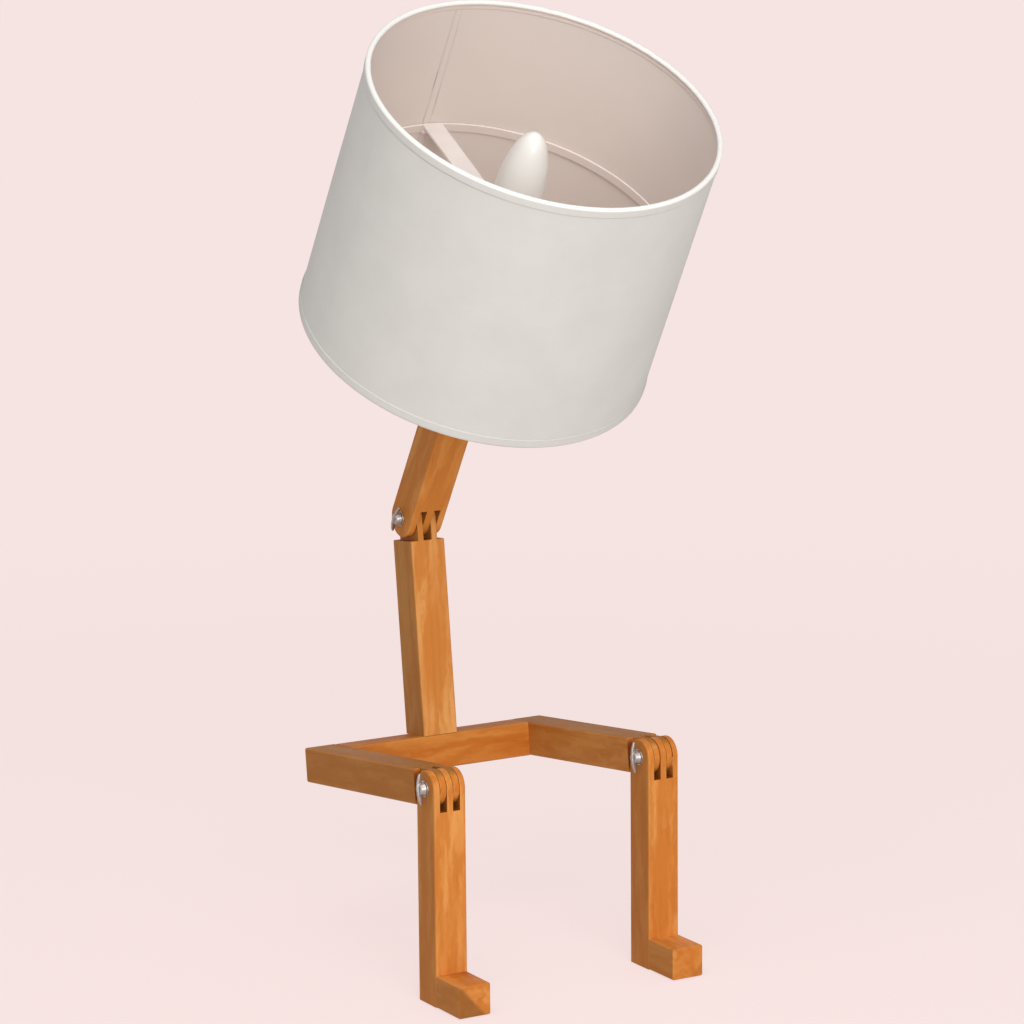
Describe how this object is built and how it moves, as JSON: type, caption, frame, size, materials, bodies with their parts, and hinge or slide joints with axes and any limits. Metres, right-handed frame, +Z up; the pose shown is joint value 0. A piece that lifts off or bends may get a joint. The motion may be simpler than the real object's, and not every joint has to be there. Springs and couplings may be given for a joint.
{
  "type": "robot figure desk lamp",
  "caption": "Seated wooden figure desk lamp with square bar limbs, finger-jointed knees and neck held by wing nuts, and a fabric drum shade for a head.",
  "frame": {"origin": "centre of the hip bar's underside, the face that the figure sits on", "axes": "+Z up with the shins hanging upright, toes along -Y, left knee at -X and right knee at +X"},
  "size_m": [0.202, 0.2535, 0.5448],
  "materials": {
    "wood": "satin",
    "dowel_wood": "matte",
    "zinc_steel": "satin",
    "white_plastic": "satin",
    "block": "matte",
    "brass": "satin",
    "cap_metal": "satin",
    "cap_insulator": "gloss",
    "frosted_glass": "frosted",
    "shade_fabric": "matte",
    "hem_tape": "matte",
    "white_metal": "satin"
  },
  "bodies": {
    "figure": {"hip_bar": "wood", "left_thigh": "wood", "right_thigh": "wood", "torso": "wood", "hip_dowels": "dowel_wood", "torso_dowels": "dowel_wood"},
    "left_leg": {"left_shin": "wood", "left_toe": "wood", "left_toe_dowel": "dowel_wood", "left_knee_bolt": "zinc_steel", "left_knee_washer": "zinc_steel"},
    "right_leg": {"right_shin": "wood", "right_toe": "wood", "right_toe_dowel": "dowel_wood", "right_knee_bolt": "zinc_steel", "right_knee_washer": "zinc_steel"},
    "head": {"neck": "wood", "neck_bolt": "zinc_steel", "neck_washer": "zinc_steel", "cable_bush": "white_plastic", "holder_nipple": "zinc_steel", "nipple_nut": "zinc_steel", "holder_base": "white_plastic", "holder_shell": "white_plastic", "contact_block": "block", "centre_contact": "brass", "side_contact": "brass", "terminal_screws": "brass", "lower_shade_ring": "white_plastic", "upper_shade_ring": "white_plastic", "bulb_cap": "cap_metal", "bulb_insulator": "cap_insulator", "bulb_tip_contact": "brass", "bulb_glass": "frosted_glass", "shade_drum": "shade_fabric", "top_hoop": "white_metal", "bottom_hoop": "white_metal", "top_hem": "hem_tape", "bottom_hem": "hem_tape", "carrier_hoop": "white_metal", "shade_carrier": "white_metal"},
    "left_knee_wing_nut": {"left_knee_nut": "zinc_steel"},
    "right_knee_wing_nut": {"right_knee_nut": "zinc_steel"},
    "neck_wing_nut": {"neck_nut": "zinc_steel"}
  },
  "joints": [
    {"name": "left_knee", "type": "hinge", "parent": "figure", "child": "left_leg", "pos_m": [-0.069, -0.13101, 0.02499], "axis": [1, 0, 0], "range_deg": [-194, 1]},
    {"name": "right_knee", "type": "hinge", "parent": "figure", "child": "right_leg", "pos_m": [0.069, -0.13101, 0.02499], "axis": [1, 0, 0], "range_deg": [-194, 1]},
    {"name": "neck_tilt", "type": "hinge", "parent": "figure", "child": "head", "pos_m": [0, 0.01786, 0.14612], "axis": [1, 0, 0], "range_deg": [-135, 60]},
    {"name": "left_knee_nut_turn", "type": "hinge", "parent": "left_leg", "child": "left_knee_wing_nut", "pos_m": [-0.069, -0.13101, 0.02499], "axis": [-1, 0, 0], "continuous": true},
    {"name": "right_knee_nut_turn", "type": "hinge", "parent": "right_leg", "child": "right_knee_wing_nut", "pos_m": [0.069, -0.13101, 0.02499], "axis": [-1, 0, 0], "continuous": true},
    {"name": "neck_nut_turn", "type": "hinge", "parent": "head", "child": "neck_wing_nut", "pos_m": [0, 0.01786, 0.14612], "axis": [-1, 0, 0], "continuous": true}
  ]
}
